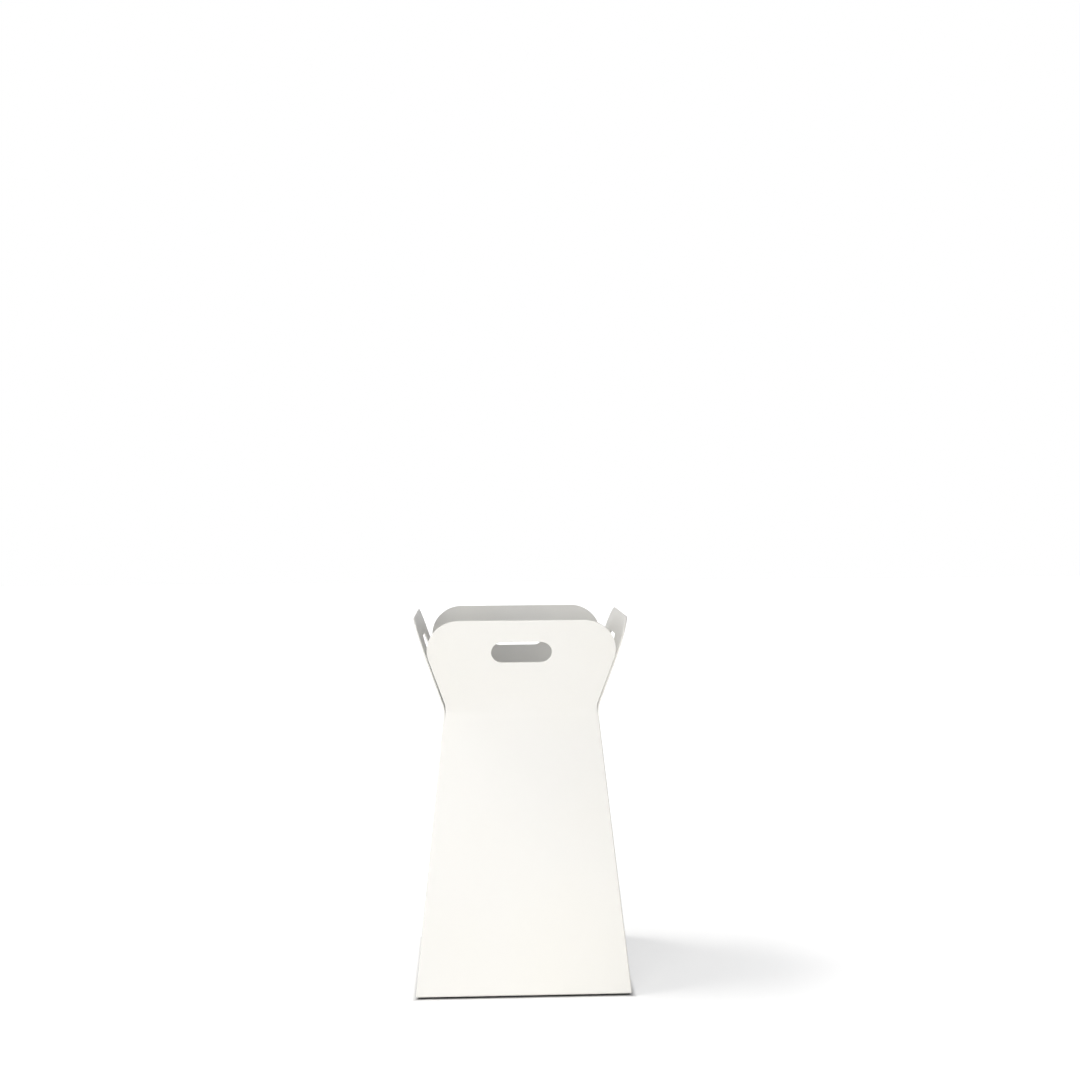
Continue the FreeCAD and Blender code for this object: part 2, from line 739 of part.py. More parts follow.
def ledge_nuts():
    body = new_body("ledge_nuts")
    sketch = stud_sketch(body, "nut_hexagons", "Sizes.ledge_gauge")
    for sign in ("-", ""):
        across = f"{sign}Sizes.stud_spacing / 2"
        draw_hexagon(sketch, across, "0", "Sizes.stud_nut_radius")
        draw_circle(sketch, across, 0, "Sizes.stud_radius + Sizes.thread_clearance")
    nuts = pad(body, "nut_pads", sketch, "Sizes.stud_nut_height", reverse=True)
    quarter_turns(body, "nut_turns", [nuts])
    return body


# Half the width of the liner under its rim, and at any height: outer faces.
def liner_top_half():
    return f"({inner_half('Places.ledge_top')} - Sizes.ledge_depth - Sizes.liner_gap)"


def liner_half(height):
    return f"({liner_top_half()} - (Places.ledge_top - ({height})) * tan(Sizes.liner_taper))"


# Tapered liner: a drafted block, shelled, that hangs by a turned-out rim with a hemmed edge.
def liner():
    body = new_body("liner")
    outline = new_sketch(body, "liner_outline", "XY_Plane", (0, 0, "Places.rim_top"))
    mouth = liner_half("Places.rim_top")
    draw_rectangle(outline, mouth, mouth, "Sizes.liner_corner")
    pad(body, "liner_block", outline, "Places.rim_top - Places.liner_foot", reverse=True)
    draft_walls(body, "liner_draft", "Sizes.liner_taper")
    shell(body, "liner_shell", "Sizes.liner_gauge")
    seam = f"({mouth} - Sizes.liner_gauge / 2)"
    add_ring(body, "rim", "Places.ledge_top", seam, "Sizes.liner_corner - Sizes.liner_gauge / 2")
    add_ring(body, "hem", "Places.rim_top", f"({rim_half()} - Sizes.liner_hem)",
             "Sizes.liner_corner - Sizes.liner_hem")
    holes = new_sketch(body, "liner_drains", "XY_Plane", (0, 0, "Places.liner_foot"))
    for across in ("-", ""):
        for along in ("-", ""):
            draw_circle(holes, f"{across}Sizes.liner_drain_spacing / 2",
                        f"{along}Sizes.liner_drain_spacing / 2", "Sizes.liner_drain_radius")
    pocket(body, "liner_drain_cut", holes, "Sizes.liner_gauge", reverse=True)
    cut_liner_rivet_holes(body)
    return body


# Name of the level face of a shape that lies highest.
def top_face(shape):
    heights = []
    for index, face in enumerate(shape.Faces, start=1):
        heights.append((face.BoundBox.ZMin, f"Face{index}"))
    return max(heights)[1]


# All upright faces lean inwards from the top face down.
def draft_walls(body, name, angle):
    base = body.Tip
    shape = base.Shape
    top = top_face(shape)
    walls = []
    for index, face in enumerate(shape.Faces, start=1):
        if face.BoundBox.ZLength > shape.BoundBox.ZLength / 2:
            walls.append(f"Face{index}")
    feature = body.newObject("PartDesign::Draft", name)
    feature.Base = (base, walls)
    feature.NeutralPlane = (base, [top])
    feature.setExpression("Angle", angle)
    feature.Reversed = True
    doc.recompute()
    return feature


# The block is hollowed from its top face; the walls keep the given thickness inwards.
def shell(body, name, gauge):
    base = body.Tip
    feature = body.newObject("PartDesign::Thickness", name)
    feature.Base = (base, [top_face(base.Shape)])
    feature.Value = number(gauge)
    feature.setExpression("Value", gauge)
    feature.Reversed = True
    feature.Join = "Intersection"
    doc.recompute()
    return feature


# A level band from the edge of the rim in to the given half width.
def add_ring(body, name, level, inside, radius):
    sketch = new_sketch(body, f"{name}_outline", "XY_Plane", (0, 0, level))
    draw_rectangle(sketch, rim_half(), rim_half(), "Sizes.liner_corner")
    draw_rectangle(sketch, inside, inside, radius)
    return pad(body, name, sketch, "Sizes.liner_gauge")


def rim_half():
    waist = "(Sizes.waist_width / 2 - Places.wall_run)"
    return f"({waist} - Sizes.liner_mouth_gap)"


# Distance of the inner face of the liner from the middle at the pivots.
def pivot_wall():
    return f"({liner_half('Places.pivot_level')} - Sizes.liner_gauge / cos(Sizes.liner_taper))"


# Half the width of a handle, so that its lugs end on the flat of the liner's wall.
def handle_half():
    flat = f"({liner_top_half()} - Sizes.liner_corner - Sizes.lug_end_gap)"
    return f"({flat} - Sizes.lug_width - Sizes.lug_gap - Sizes.handle_wire)"


# The handle frame: on the inner face of the liner at the pivots, X off the wall, Z up along it.
def handle_body(label, turn):
    body = doc.addObject("PartDesign::Body", label)
    body.Label = label
    sign = "-" if turn == 0 else ""
    spot = f"vector({sign}{pivot_wall()}; 0; Places.pivot_level)"
    spin = f"rotation(vector(0; 0; 1); {turn}) * rotation(vector(0; 1; 0); -Sizes.liner_taper)"
    body.setExpression("Placement", f"placement({spot}; {spin})")
    return body


# Wire handle hanging from its pivots against the wall of the liner.
def handle(label, turn):
    body = handle_body(label, turn)
    half = handle_half()
    path = new_sketch(body, f"{label}_path", "YZ_Plane", (0, 0, "Sizes.pivot_stand_off"))
    draw_wire_path(path, half)
    section = new_sketch(body, f"{label}_section", "XZ_Plane", (0, 0, minus(f"({half} + Sizes.handle_stub)")))
    draw_circle(section, "Sizes.pivot_stand_off", 0, "Sizes.handle_wire")
    feature = body.newObject("PartDesign::AdditivePipe", f"{label}_wire")
    feature.Profile = section
    feature.Spine = path
    feature.Transition = "Right corner"
    doc.recompute()
    return body


# Stub, sharp bend, leg, round bend, grip and back again, symmetric about the middle.
def draw_wire_path(sketch, half):
    end = f"({half} + Sizes.handle_stub)"
    corners = [
        (end, "0", 0),
        (half, "0", 0),
        (half, "-Sizes.handle_drop", "Sizes.handle_bend"),
        (minus(half), "-Sizes.handle_drop", "Sizes.handle_bend"),
        (minus(half), "0", 0),
        (minus(end), "0", 0),
    ]
    draw_outline(sketch, corners, closed=False)


# A pair of riveted lugs. The stubs of the handle turn in the holes of their ears.
def handle_lugs(label, turn):
    body = handle_body(label, turn)
    ear = f"({handle_half()} + Sizes.handle_wire + Sizes.lug_gap)"
    tip = "(Sizes.pivot_stand_off + Sizes.handle_wire + Sizes.lug_ear_margin)"
    half_height = "Sizes.lug_height / 2"
    section = new_sketch(body, f"{label}_section", "XY_Plane")
    trim = new_sketch(body, f"{label}_corners", "XZ_Plane")
    for sign in ("-", ""):
        corners = [
            (0, f"{sign}{ear}", "Sizes.lug_bend + Sizes.lug_gauge"),
            (tip, f"{sign}{ear}", 0),
            (tip, f"{sign}({ear} + Sizes.lug_gauge)", 0),
            ("Sizes.lug_gauge", f"{sign}({ear} + Sizes.lug_gauge)", "Sizes.lug_bend"),
            ("Sizes.lug_gauge", f"{sign}({ear} + Sizes.lug_width)", 0),
            (0, f"{sign}({ear} + Sizes.lug_width)", 0),
        ]
        draw_outline(section, corners)
        corners = [
            (f"{tip} - Sizes.lug_corner", f"{sign}({half_height})", 0),
            (tip, f"{sign}({half_height} - Sizes.lug_corner)", 0),
            (f"{tip} + Sizes.lug_corner", f"{sign}({half_height} + Sizes.lug_corner)", 0),
        ]
        draw_outline(trim, corners)
    pad(body, f"{label}_plates", section, "Sizes.lug_height", both_ways=True)
    pocket(body, f"{label}_corner_cut", trim, "Sizes.base_width", both_ways=True)
    bores = new_sketch(body, f"{label}_bores", "XZ_Plane")
    draw_circle(bores, "Sizes.pivot_stand_off", 0, "Sizes.handle_wire + Sizes.handle_clearance")
    pocket(body, f"{label}_bore_cut", bores, "Sizes.base_width", both_ways=True)
    holes = new_sketch(body, f"{label}_rivet_holes", "YZ_Plane")
    for sign in ("-", ""):
        draw_circle(holes, f"{sign}{rivet_place()}", 0, "Sizes.rivet_radius + Sizes.rivet_clearance")
    pocket(body, f"{label}_rivet_hole_cut", holes, "2 * Sizes.lug_gauge", both_ways=True)
    return body


def rivet_place():
    ear = f"{handle_half()} + Sizes.handle_wire + Sizes.lug_gap"
    return f"({ear} + Sizes.lug_width - Sizes.rivet_edge)"


# The rivets of a pair of lugs: head on the lug, shank through the liner, formed tail outside.
def lug_rivets(label, turn):
    body = handle_body(label, turn)
    layers = (
        ("tails", "(-Sizes.liner_gauge - Sizes.rivet_head_height)", "Sizes.rivet_head_height",
         "Sizes.rivet_head_radius"),
        ("shanks", "(-Sizes.liner_gauge)", "Sizes.liner_gauge + Sizes.lug_gauge", "Sizes.rivet_radius"),
        ("heads", "Sizes.lug_gauge", "Sizes.rivet_head_height", "Sizes.rivet_head_radius"),
    )
    for name, level, height, radius in layers:
        sketch = new_sketch(body, f"{label}_{name}", "YZ_Plane", (0, 0, level))
        for sign in ("-", ""):
            draw_circle(sketch, f"{sign}{rivet_place()}", 0, radius)
        pad(body, f"{label}_{name}_pad", sketch, height)
    return body


# Rivet holes through the two walls of the liner that carry the handles.
def cut_liner_rivet_holes(body):
    for name, side in (("left", "-"), ("right", "")):
        holes = new_sketch(body, f"liner_{name}_rivet_holes", "YZ_Plane",
                           (0, "Places.pivot_level", f"{side}{pivot_wall()}"), f"{side}Sizes.liner_taper")
        for sign in ("-", ""):
            draw_circle(holes, f"{sign}{rivet_place()}", 0, "Sizes.rivet_radius + Sizes.rivet_clearance")
        pocket(body, f"liner_{name}_rivet_cut", holes, "4 * Sizes.liner_gauge", both_ways=True)


def check_and_write():
    doc.recompute()
    for item in doc.Objects:
        if "Invalid" in item.State or "Error" in item.State:
            raise RuntimeError(f"{item.Label}: {item.State}")
    os.makedirs("parts", exist_ok=True)
    for item in doc.Objects:
        if item.TypeId != "PartDesign::Body":
            continue
        shape = item.Shape
        if shape.isNull() or not shape.isValid():
            raise RuntimeError(f"{item.Label}: shape is not valid")
        shape.exportStep(f"parts/{item.Label}.step")
        print(f"{item.Label}: {len(shape.Solids)} solid(s), {shape.Volume:.0f} mm3")


panel("front_panel", 0, inset=True)
panel("right_panel", 90, inset=False)
panel("back_panel", 180, inset=True)
panel("left_panel", 270, inset=False)
corner_angle("front_left_angle", 0)
corner_angle("front_right_angle", 90)
corner_angle("back_right_angle", 180)
corner_angle("back_left_angle", 270)
base_plate()
feet()
foot_screws()
foot_washers()
foot_nuts()
ledge("front_ledge", 0)
ledge("right_ledge", 90)
ledge("back_ledge", 180)
ledge("left_ledge", 270)
ledge_studs()
ledge_nuts()
liner()
handle("left_handle", 0)
handle("right_handle", 180)
handle_lugs("left_handle_lugs", 0)
handle_lugs("right_handle_lugs", 180)
lug_rivets("left_lug_rivets", 0)
lug_rivets("right_lug_rivets", 180)
check_and_write()
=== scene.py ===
import json
import math
import bmesh
import bpy
from mathutils import Matrix, Vector


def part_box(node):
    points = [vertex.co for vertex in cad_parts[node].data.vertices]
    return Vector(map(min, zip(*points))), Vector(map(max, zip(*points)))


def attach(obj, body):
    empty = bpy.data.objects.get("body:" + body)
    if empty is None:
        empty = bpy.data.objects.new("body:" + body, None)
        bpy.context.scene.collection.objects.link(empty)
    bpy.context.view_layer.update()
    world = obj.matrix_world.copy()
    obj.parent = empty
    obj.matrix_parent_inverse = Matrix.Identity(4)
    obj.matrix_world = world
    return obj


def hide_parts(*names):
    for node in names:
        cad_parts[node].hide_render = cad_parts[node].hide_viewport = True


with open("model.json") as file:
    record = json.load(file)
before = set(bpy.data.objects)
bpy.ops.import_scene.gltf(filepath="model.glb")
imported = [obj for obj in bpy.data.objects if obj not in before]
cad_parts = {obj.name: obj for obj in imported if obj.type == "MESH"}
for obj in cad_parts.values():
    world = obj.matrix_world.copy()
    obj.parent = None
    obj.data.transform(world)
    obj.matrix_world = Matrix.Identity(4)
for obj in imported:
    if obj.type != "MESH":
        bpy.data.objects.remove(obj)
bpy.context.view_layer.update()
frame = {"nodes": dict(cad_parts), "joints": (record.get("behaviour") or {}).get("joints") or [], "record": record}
print("stage: frame loaded")

mm = 0.001


# Camera at the photograph's place: metres, radians, and a focal length for a 36 mm sensor
cameraView = {
    "place": (-0.08119, -3.01519, 0.91878),
    "yaw": 0.0412,
    "pitch": -0.0265,
    "roll": -0.0070,
    "sensor": 36.0,
    "lens": 51.336,
}


def addCamera():
    yaw, pitch, roll = cameraView["yaw"], cameraView["pitch"], cameraView["roll"]
    ahead = Vector((math.sin(yaw) * math.cos(pitch), math.cos(yaw) * math.cos(pitch), math.sin(pitch)))
    level = Vector((math.cos(yaw), -math.sin(yaw), 0))
    raised = level.cross(ahead)
    right = level * math.cos(roll) + raised * math.sin(roll)
    up = raised * math.cos(roll) - level * math.sin(roll)
    data = bpy.data.cameras.new("photoCamera")
    data.sensor_width = cameraView["sensor"]
    data.lens = cameraView["lens"]
    camera = bpy.data.objects.new("photoCamera", data)
    turned = Matrix((right, up, -ahead)).transposed().to_4x4()
    camera.matrix_world = Matrix.Translation(cameraView["place"]) @ turned
    bpy.context.scene.collection.objects.link(camera)
    bpy.context.scene.camera = camera


addCamera()
print("stage: camera")


# Shader helpers
def newMaterial(name, **values):
    material = bpy.data.materials.new(name)
    material.use_nodes = True
    shader = material.node_tree.nodes["Principled BSDF"]
    for socket, value in values.items():
        shader.inputs[socket.replace("_", " ")].default_value = value
    return material, material.node_tree, shader


def addNode(tree, kind, inputs=None, **settings):
    node = tree.nodes.new(kind)
    for key, value in settings.items():
        setattr(node, key, value)
    for key, value in (inputs or {}).items():
        if isinstance(value, bpy.types.NodeSocket):
            tree.links.new(value, node.inputs[key])
        else:
            node.inputs[key].default_value = value
    return node


def objectPlace(tree):
    return addNode(tree, "ShaderNodeTexCoord").outputs["Object"]


def noise(tree, place, scale, detail=2.0, roughness=0.5):
    node = addNode(tree, "ShaderNodeTexNoise", {"Vector": place, "Scale": scale, "Detail": detail,
                                                "Roughness": roughness})
    return node.outputs["Fac"]


def spread(tree, value, low, high, fromLow=0.0, fromHigh=1.0):
    node = addNode(tree, "ShaderNodeMapRange", {"Value": value, "From Min": fromLow, "From Max": fromHigh,
                                                "To Min": low, "To Max": high})
    return node.outputs["Result"]


def blendColours(tree, share, first, second):
    node = addNode(tree, "ShaderNodeMix", data_type="RGBA")
    tree.links.new(share, node.inputs["Factor"])
    for key, value in ((6, first), (7, second)):
        if isinstance(value, bpy.types.NodeSocket):
            tree.links.new(value, node.inputs[key])
        else:
            node.inputs[key].default_value = value
    return node.outputs[2]


def bump(tree, shader, height, strength, distance):
    node = addNode(tree, "ShaderNodeBump", {"Height": height, "Strength": strength, "Distance": distance})
    tree.links.new(node.outputs["Normal"], shader.inputs["Normal"])


# Satin off-white powder coat: fine orange peel, hardly any tint change. Scales count features in a metre
coat = {
    "colour": (0.892, 0.882, 0.850, 1),
    "warmColour": (0.893, 0.879, 0.832, 1),
    "cloudScale": 3.2,
    "cloudRange": (0.35, 0.7),
    "specular": 0.45,
    "roughness": 0.42,
    "roughSpread": 0.05,
    "roughScale": 38.0,
    "peelScale": 620.0,
    "peelStrength": 0.35,
    "peelDepth": 0.04 * mm,
}
plateCoat = {**coat, "colour": (0.84, 0.835, 0.81, 1), "roughness": 0.5}


def powderCoat(name, values):
    material, tree, shader = newMaterial(name, Specular_IOR_Level=values["specular"])
    place = objectPlace(tree)
    cloud = spread(tree, noise(tree, place, values["cloudScale"]), 0.0, 1.0, *values["cloudRange"])
    colour = blendColours(tree, cloud, values["colour"], values["warmColour"])
    tree.links.new(colour, shader.inputs["Base Color"])
    peel = noise(tree, place, values["peelScale"], detail=1.0)
    smooth, rough = values["roughness"] - values["roughSpread"], values["roughness"] + values["roughSpread"]
    gloss = spread(tree, noise(tree, place, values["roughScale"], detail=4.0), smooth, rough)
    tree.links.new(gloss, shader.inputs["Roughness"])
    bump(tree, shader, peel, values["peelStrength"], values["peelDepth"])
    return material


# Zinc on sheet: spangle as cells of slightly different grey and gloss, softened by a finer cloud
galvanised = {
    "bright": (0.575, 0.595, 0.62, 1),
    "dark": (0.43, 0.45, 0.475, 1),
    "cloud": (0.50, 0.52, 0.545, 1),
    "detail": 3.0,
    "spangleScale": 150.0,
    "warpScale": 90.0,
    "warpReach": 6 * mm,
    "cloudScale": 420.0,
    "cloudRange": (0.35, 0.65),
    "cloudShare": 0.6,
    "roughness": (0.30, 0.46),
    "grainScale": 260.0,
    "grainStrength": 0.12,
    "grainDepth": 0.1 * mm,
}


def galvanisedSheet(name, values):
    material, tree, shader = newMaterial(name, Metallic=1.0)
    place, detail = objectPlace(tree), values["detail"]
    warp = addNode(tree, "ShaderNodeTexNoise", {"Vector": place, "Scale": values["warpScale"],
                                                "Detail": detail})
    shifted = addNode(tree, "ShaderNodeVectorMath", {0: warp.outputs["Color"], "Scale": values["warpReach"]},
                      operation="SCALE")
    moved = addNode(tree, "ShaderNodeVectorMath", {0: place, 1: shifted.outputs[0]}, operation="ADD")
    cells = addNode(tree, "ShaderNodeTexVoronoi", {"Vector": moved.outputs[0],
                                                   "Scale": values["spangleScale"]})
    grey = addNode(tree, "ShaderNodeSeparateColor", {"Color": cells.outputs["Color"]})
    tone = blendColours(tree, grey.outputs[0], values["dark"], values["bright"])
    cloud = noise(tree, place, values["cloudScale"], detail)
    cloud = spread(tree, cloud, 0.0, values["cloudShare"], *values["cloudRange"])
    tree.links.new(blendColours(tree, cloud, tone, values["cloud"]), shader.inputs["Base Color"])
    tree.links.new(spread(tree, grey.outputs[1], *values["roughness"]), shader.inputs["Roughness"])
    grain = noise(tree, place, values["grainScale"], detail)
    bump(tree, shader, grain, values["grainStrength"], values["grainDepth"])
    return material


# Plated or drawn steel: a fine grain and a faint tint, in one look for three parts
steelLook = {
    "tintScale": 60.0,
    "tintRoughness": 0.6,
    "roughScale": 240.0,
    "smoother": 0.08,
    "rougher": 0.1,
    "grainStrength": 0.2,
    "grainDepth": 0.05 * mm,
}
bracketZinc = {**steelLook, "colour": (0.60, 0.61, 0.63, 1), "tint": (0.66, 0.65, 0.60, 1),
               "roughness": 0.36, "grainScale": 700.0}
fastenerZinc = {**steelLook, "colour": (0.70, 0.70, 0.72, 1), "tint": (0.74, 0.71, 0.62, 1),
                "roughness": 0.25, "grainScale": 900.0}
handleWire = {**steelLook, "colour": (0.56, 0.57, 0.59, 1), "tint": (0.48, 0.49, 0.50, 1),
              "roughness": 0.33, "grainScale": 1200.0}


def platedSteel(name, values):
    material, tree, shader = newMaterial(name, Metallic=1.0)
    place = objectPlace(tree)
    share = noise(tree, place, values["tintScale"], detail=4.0, roughness=values["tintRoughness"])
    tree.links.new(blendColours(tree, share, values["colour"], values["tint"]), shader.inputs["Base Color"])
    smooth, rough = values["roughness"] - values["smoother"], values["roughness"] + values["rougher"]
    gloss = spread(tree, noise(tree, place, values["roughScale"], detail=3.0), smooth, rough)
    tree.links.new(gloss, shader.inputs["Roughness"])
    grain = noise(tree, place, values["grainScale"])
    bump(tree, shader, grain, values["grainStrength"], values["grainDepth"])
    return material


# Moulded rubber: near black, dull, with a fine grain
rubber = {
    "dark": (0.018, 0.018, 0.019, 1),
    "pale": (0.035, 0.034, 0.033, 1),
    "toneScale": 80.0,
    "specular": 0.3,
    "roughness": (0.7, 0.9),
    "roughScale": 300.0,
    "grainScale": 1500.0,
    "grainStrength": 0.3,
    "grainDepth": 0.06 * mm,
}


def footRubber(name, values):
    material, tree, shader = newMaterial(name, Specular_IOR_Level=values["specular"])
    place = objectPlace(tree)
    tone = noise(tree, place, values["toneScale"], detail=4.0)
    tree.links.new(blendColours(tree, tone, values["dark"], values["pale"]), shader.inputs["Base Color"])
    gloss = spread(tree, noise(tree, place, values["roughScale"]), *values["roughness"])
    tree.links.new(gloss, shader.inputs["Roughness"])
    grain = noise(tree, place, values["grainScale"])
    bump(tree, shader, grain, values["grainStrength"], values["grainDepth"])
    return material


finishes = {
    "white_coating": powderCoat("powderCoat", coat),
    "coated_plate": powderCoat("plateCoat", plateCoat),
    "foot_rubber": footRubber("footRubber", rubber),
    "zinc_bracket": platedSteel("bracketZinc", bracketZinc),
    "zinc_fastener": platedSteel("fastenerZinc", fastenerZinc),
    "galvanised_sheet": galvanisedSheet("galvanisedSheet", galvanised),
    "handle_wire": platedSteel("handleWire", handleWire),
}


slotOf = {part["node"]: part["material_slot"] for part in frame["record"]["subparts"]}
bodyOf = {node: body for body, nodes in frame["record"]["behaviour"]["bodies"].items() for node in nodes}


def paintNodes():
    for name, node in frame["nodes"].items():
        node.data.materials.clear()
        node.data.materials.append(finishes[slotOf[name]])


paintNodes()
print("stage: finishes")


# Mesh and node tree helpers
def finishMesh(name, shape):
    mesh = bpy.data.meshes.new(name)
    shape.to_mesh(mesh)
    shape.free()
    return mesh


def newObject(name, mesh):
    piece = bpy.data.objects.new(name, mesh)
    bpy.context.scene.collection.objects.link(piece)
    return piece


def addPiece(name, mesh, body, slot, *nodes):
    mesh.name = name
    if not mesh.materials:
        mesh.materials.append(finishes[slot])
    piece = newObject(name, mesh)
    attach(piece, body)
    if nodes:
        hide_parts(*nodes)


def maths(tree, operation, first, second=0.0):
    return addNode(tree, "ShaderNodeMath", {0: first, 1: second}, operation=operation).outputs[0]


def newTree(name, inputs):
    tree = bpy.data.node_groups.new(name, "GeometryNodeTree")
    tree.interface.new_socket("Geometry", in_out="INPUT", socket_type="NodeSocketGeometry")
    for label, kind in inputs:
        tree.interface.new_socket(label, in_out="INPUT", socket_type=kind)
    tree.interface.new_socket("Geometry", in_out="OUTPUT", socket_type="NodeSocketGeometry")
    tree.nodes.new("NodeGroupInput")
    tree.nodes.new("NodeGroupOutput")
    return tree


def closeTree(tree, geometry):
    real = addNode(tree, "GeometryNodeRealizeInstances", {0: geometry})
    painted = addNode(tree, "GeometryNodeSetMaterial", {"Geometry": real.outputs[0]})
    tree.links.new(tree.nodes["Group Input"].outputs["Finish"], painted.inputs["Material"])
    tree.links.new(painted.outputs[0], tree.nodes["Group Output"].inputs[0])


# Plain mesh that a node tree makes of a mesh, with its inputs given by name
def treeResult(mesh, tree, values, weighted=False):
    host = newObject(f"{mesh.name}Host", mesh)
    modifier = host.modifiers.new("shape", "NODES")
    modifier.node_group = tree
    for item in tree.interface.items_tree:
        if item.item_type == "SOCKET" and item.in_out == "INPUT" and item.name in values:
            modifier[item.identifier] = values[item.name]
    if weighted:
        flattenShading(host)
    return bakedMesh(host)


# Shading that keeps flat faces flat beside their rounded edges
def flattenShading(host):
    flat = host.modifiers.new("flatFaces", "WEIGHTED_NORMAL")
    flat.keep_sharp = True


def bakedMesh(host):
    settled = host.evaluated_get(bpy.context.evaluated_depsgraph_get())
    result = bpy.data.meshes.new_from_object(settled)
    used = host.data
    host.modifiers.clear()
    bpy.data.objects.remove(host)
    bpy.data.meshes.remove(used)
    return result


# Folded panels: a flat blank with a hand hole, bent along its foot and its waist
panelSizes = {
    "baseWidth": 400 * mm,
    "waistWidth": 289 * mm,
    "foldHeight": 524 * mm,
    "floorGap": 3 * mm,
    "gauge": 3 * mm,
    "bottomReturn": 42 * mm,
    "bottomRadius": 4.5 * mm,
    "waistRadius": 55 * mm,
    "flapLength": 182 * mm,
    "flapLean": math.radians(18.3),
    "flapNeck": 276 * mm,
    "flapSlope": math.radians(18),
    "flapCorner": 60 * mm,
    "neckRadius": 50 * mm,
    "holeLength": 112 * mm,
    "holeHeight": 41 * mm,
    "holeDrop": 43 * mm,
    "mitreGap": 0.4 * mm,
    "bendGap": 4.5 * mm,
    "cutEdge": 0.5 * mm,
    "groundCorner": 2.5 * mm,
    "weldedEdge": 0.03 * mm,
    "roundTaper": 10 * mm,
    "arcSteps": 40,
    "edgeSteps": 4,
    "bottomSteps": 12,
    "waistSteps": 18,
    "mergeWithin": 0.0001 * mm,
}


# Lengths along the flat blank, measured on the outer face from the free end of the bottom return.
# Below, b holds these and p the sizes
def blankLevels(p):
    rise = p["foldHeight"] - p["floorGap"]
    slope = (p["baseWidth"] - p["waistWidth"]) / 2 / rise
    lean = math.atan(slope)
    bottomTurn = math.pi / 2 + lean
    waistTurn = lean + p["flapLean"]
    bottomTangent = p["bottomRadius"] * math.tan(bottomTurn / 2)
    waistTangent = p["waistRadius"] * math.tan(waistTurn / 2)
    bottomBend = p["bottomReturn"] - bottomTangent
    wallStart = bottomBend + p["bottomRadius"] * bottomTurn
    waistBend = wallStart + rise / math.cos(lean) - bottomTangent - waistTangent
    flapStart = waistBend + p["waistRadius"] * waistTurn
    return {"slope": slope, "lean": lean, "bottomTurn": bottomTurn, "waistTurn": waistTurn,
            "waistTangent": waistTangent, "bottomTangent": bottomTangent, "bottomBend": bottomBend,
            "wallStart": wallStart, "waistBend": waistBend, "flapStart": flapStart,
            "top": flapStart + p["flapLength"] - waistTangent}


# Height above the floor that a level of the blank has once it is folded
def foldedHeight(p, b, level):
    if level < b["bottomBend"]:
        return p["floorGap"]
    if level < b["wallStart"]:
        turned = (level - b["bottomBend"]) / p["bottomRadius"]
        return p["floorGap"] + p["bottomRadius"] * (1 - math.cos(turned))
    if level < b["waistBend"]:
        return p["floorGap"] + (b["bottomTangent"] + level - b["wallStart"]) * math.cos(b["lean"])
    if level < b["flapStart"]:
        start = p["foldHeight"] - b["waistTangent"] * math.cos(b["lean"])
        turned = (level - b["waistBend"]) / p["waistRadius"]
        return start + p["waistRadius"] * (math.sin(b["lean"]) - math.sin(b["lean"] - turned))
    return p["foldHeight"] + (level - b["flapStart"] + b["waistTangent"]) * math.cos(p["flapLean"])


# Half the width of wall and neck at a height: wall line, concave neck arc, flare of the flap
def edgeAcross(p, b, height, shift):
    slope, radius = b["slope"], p["neckRadius"]
    flare = math.tan(p["flapSlope"]) / math.cos(p["flapLean"])
    wallFoot = p["baseWidth"] / 2 + p["floorGap"] * slope - shift
    flareFoot = p["flapNeck"] / 2 - p["foldHeight"] * flare
    wallLength, flareLength = math.hypot(1, slope), math.hypot(1, flare)
    centreUp = (wallFoot + radius * wallLength - flareFoot - radius * flareLength) / (slope + flare)
    centreAcross = wallFoot + radius * wallLength - slope * centreUp
    if height < centreUp - radius * slope / wallLength:
        return wallFoot - slope * height
    if height > centreUp + radius * flare / flareLength:
        return flareFoot + flare * height
    return centreAcross - math.sqrt(radius ** 2 - (height - centreUp) ** 2)


# Right half of the blank's outline, from the middle of the return to the middle of the flap's top edge:
# across, level, round of the outer edge, round of the inner edge
def blankOutline(p, b, inset):
    shift = p["gauge"] * math.hypot(1, b["slope"]) if inset else 0
    wallRound = p["weldedEdge"] if inset else p["groundCorner"]
    cut, small = p["cutEdge"], p["weldedEdge"]
    returnHalf = p["baseWidth"] / 2 - p["bottomReturn"] - p["mitreGap"]
    mitreEnd = p["bottomReturn"] - p["bendGap"]
    notch = returnHalf + mitreEnd
    points = [(0, 0, cut, cut), (returnHalf, 0, cut, cut), (notch, mitreEnd, small, small)]
    wallFrom = b["wallStart"] - cut if inset else mitreEnd
    if inset:
        points.append((notch, wallFrom, small, small))

    def alongWall(level, outer, inner):
        points.append((edgeAcross(p, b, foldedHeight(p, b, level), shift), level, outer, inner))

    for level in (wallFrom, b["wallStart"], b["waistBend"] - p["roundTaper"]):
        alongWall(level, wallRound, small)
    neckTop = b["flapStart"] + p["neckRadius"] / 2
    for step in range(p["arcSteps"] + 1):
        alongWall(b["waistBend"] + (neckTop - b["waistBend"]) * step / p["arcSteps"], cut, cut)
    for across, along in cornerArc(p):
        points.append((across, b["flapStart"] - b["waistTangent"] + along, cut, cut))
    points.append((0, b["top"], cut, cut))
    return points


# Round corner of the flap, from its sloping side to its top edge, in the plane of the flap
def cornerArc(p):
    turn = math.pi / 2 + p["flapSlope"]
    tangent = p["flapCorner"] * math.tan(turn / 2)
    tip = p["flapNeck"] / 2 + p["flapLength"] * math.tan(p["flapSlope"])
    across, along = tip - tangent, p["flapLength"] - p["flapCorner"]
    arc = []
    for step in range(p["arcSteps"] + 1):
        angle = -p["flapSlope"] + turn * step / p["arcSteps"]
        arc.append((across + p["flapCorner"] * math.cos(angle), along + p["flapCorner"] * math.sin(angle)))
    return arc


